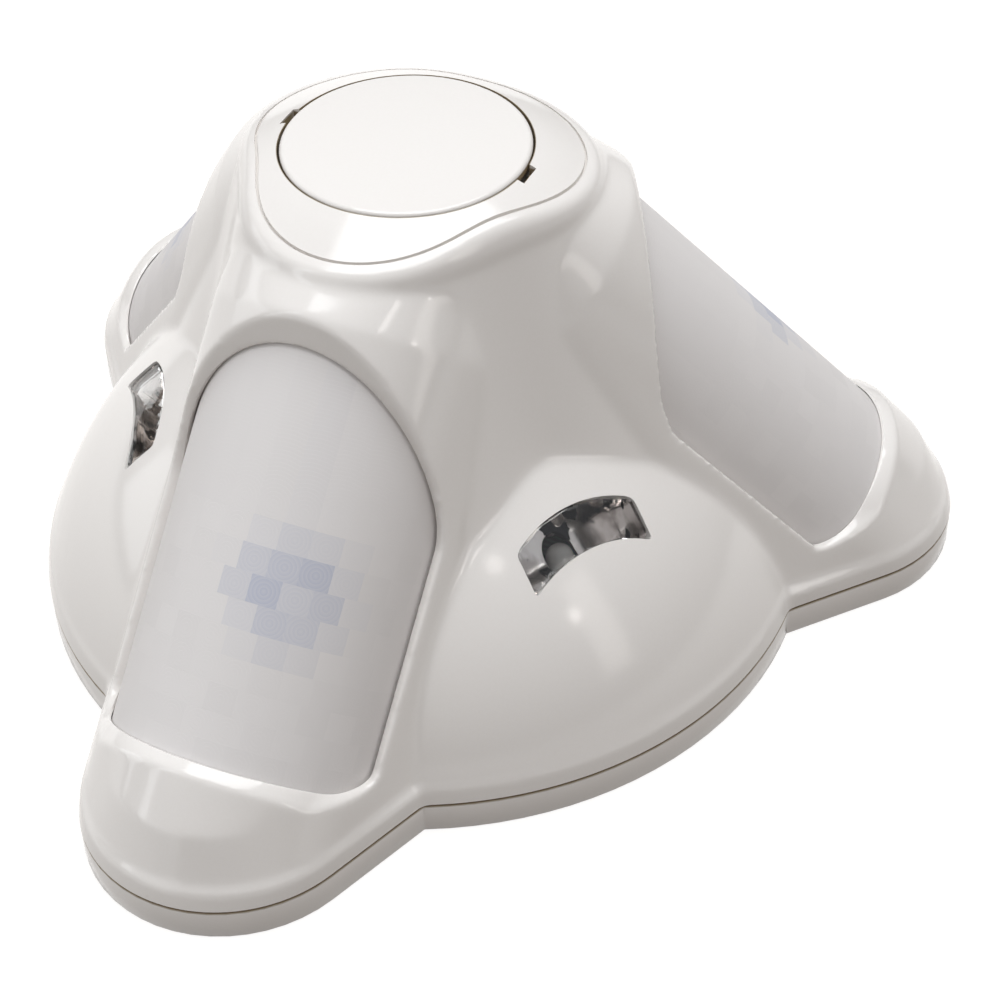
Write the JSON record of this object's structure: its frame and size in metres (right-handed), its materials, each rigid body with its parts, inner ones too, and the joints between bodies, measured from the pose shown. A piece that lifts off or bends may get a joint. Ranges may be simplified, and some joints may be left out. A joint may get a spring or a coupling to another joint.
{
  "type": "motion sensor",
  "caption": "Ceiling motion sensor: a tri-lobed domed housing with infrared lenses on its legs, clear indicator windows between them and a round cap on top.",
  "frame": {"origin": "centre of the flat mounting face under the base", "axes": "+Z from the mounting face up the tower to the cap, -Y along the front leg"},
  "size_m": [0.1872, 0.1777, 0.0949],
  "materials": {
    "shell": "moulded, glossy, warm white",
    "lens": "translucent, matt white",
    "window": "clear plastic",
    "reflector": "metallised plastic",
    "circuit_board": "solder mask",
    "inner_mould": "moulded, satin",
    "screw_steel": "zinc plated",
    "sensor_can": "nickel plated can",
    "brass": "turned",
    "indicator": "tinted, clear",
    "black_plastic": "moulded, satin",
    "terminal_green": "moulded, satin",
    "capacitor_sleeve": "shrunk sleeve",
    "setting_blue": "moulded, satin"
  },
  "bodies": {
    "base_unit": {"base": "shell", "main_board": "circuit_board", "board_screws": "screw_steel", "sensor_carrier": "inner_mould", "carrier_screws": "screw_steel", "threaded_insert": "brass", "sensor_board_1": "circuit_board", "sensor_board_2": "circuit_board", "sensor_board_3": "circuit_board", "pyro_sensor_1": "sensor_can", "pyro_sensor_2": "sensor_can", "pyro_sensor_3": "sensor_can", "led_spacers": "black_plastic", "indicator_led_1": "indicator", "indicator_led_2": "indicator", "indicator_led_3": "indicator", "terminal_block": "terminal_green", "terminal_screws": "screw_steel", "relay": "black_plastic", "capacitors": "capacitor_sleeve", "controller_chip": "black_plastic", "tamper_switch": "black_plastic", "rear_tamper_switch": "black_plastic", "trimmer_body": "setting_blue", "dip_switch": "setting_blue"},
    "cover": {"front_cover": "shell", "lens_1": "lens", "lens_2": "lens", "lens_3": "lens", "lens_frame_1": "inner_mould", "lens_frame_2": "inner_mould", "lens_frame_3": "inner_mould", "window_1": "window", "window_2": "window", "window_3": "window", "reflector_1": "reflector", "reflector_2": "reflector", "reflector_3": "reflector", "cover_screw": "screw_steel"},
    "cap": {"cap": "shell"},
    "tamper_plunger": {"tamper_plunger": "inner_mould"},
    "rear_tamper_plunger": {"rear_tamper_plunger": "inner_mould"},
    "trimmer_rotor": {"trimmer_rotor": "inner_mould"},
    "dip_slider_1": {"dip_slider_1": "inner_mould"},
    "dip_slider_2": {"dip_slider_2": "inner_mould"},
    "dip_slider_3": {"dip_slider_3": "inner_mould"},
    "dip_slider_4": {"dip_slider_4": "inner_mould"}
  },
  "joints": [
    {"name": "cover_lift", "type": "slide", "parent": "base_unit", "child": "cover", "axis": [0, 0, 1], "range_m": [0, 0.11]},
    {"name": "cap_pull", "type": "slide", "parent": "cover", "child": "cap", "axis": [0, 0, 1], "range_m": [0, 0.03]},
    {"name": "tamper_press", "type": "slide", "parent": "base_unit", "child": "tamper_plunger", "axis": [0, 0, 1], "range_m": [-0.0006, 0], "stiffness_N_per_m": 200},
    {"name": "rear_tamper_release", "type": "slide", "parent": "base_unit", "child": "rear_tamper_plunger", "axis": [0, 0, -1], "range_m": [0, 0.0015], "stiffness_N_per_m": 200},
    {"name": "trimmer_turn", "type": "hinge", "parent": "base_unit", "child": "trimmer_rotor", "pos_m": [-0.0485, -0.028, 0.0145], "axis": [0, 0, 1], "range_deg": [-135, 135]},
    {"name": "dip_slide_1", "type": "slide", "parent": "base_unit", "child": "dip_slider_1", "axis": [0.866, -0.5, 0], "range_m": [0, 0.0014]},
    {"name": "dip_slide_2", "type": "slide", "parent": "base_unit", "child": "dip_slider_2", "axis": [0.866, -0.5, 0], "range_m": [0, 0.0014]},
    {"name": "dip_slide_3", "type": "slide", "parent": "base_unit", "child": "dip_slider_3", "axis": [0.866, -0.5, 0], "range_m": [0, 0.0014]},
    {"name": "dip_slide_4", "type": "slide", "parent": "base_unit", "child": "dip_slider_4", "axis": [0.866, -0.5, 0], "range_m": [0, 0.0014]}
  ]
}
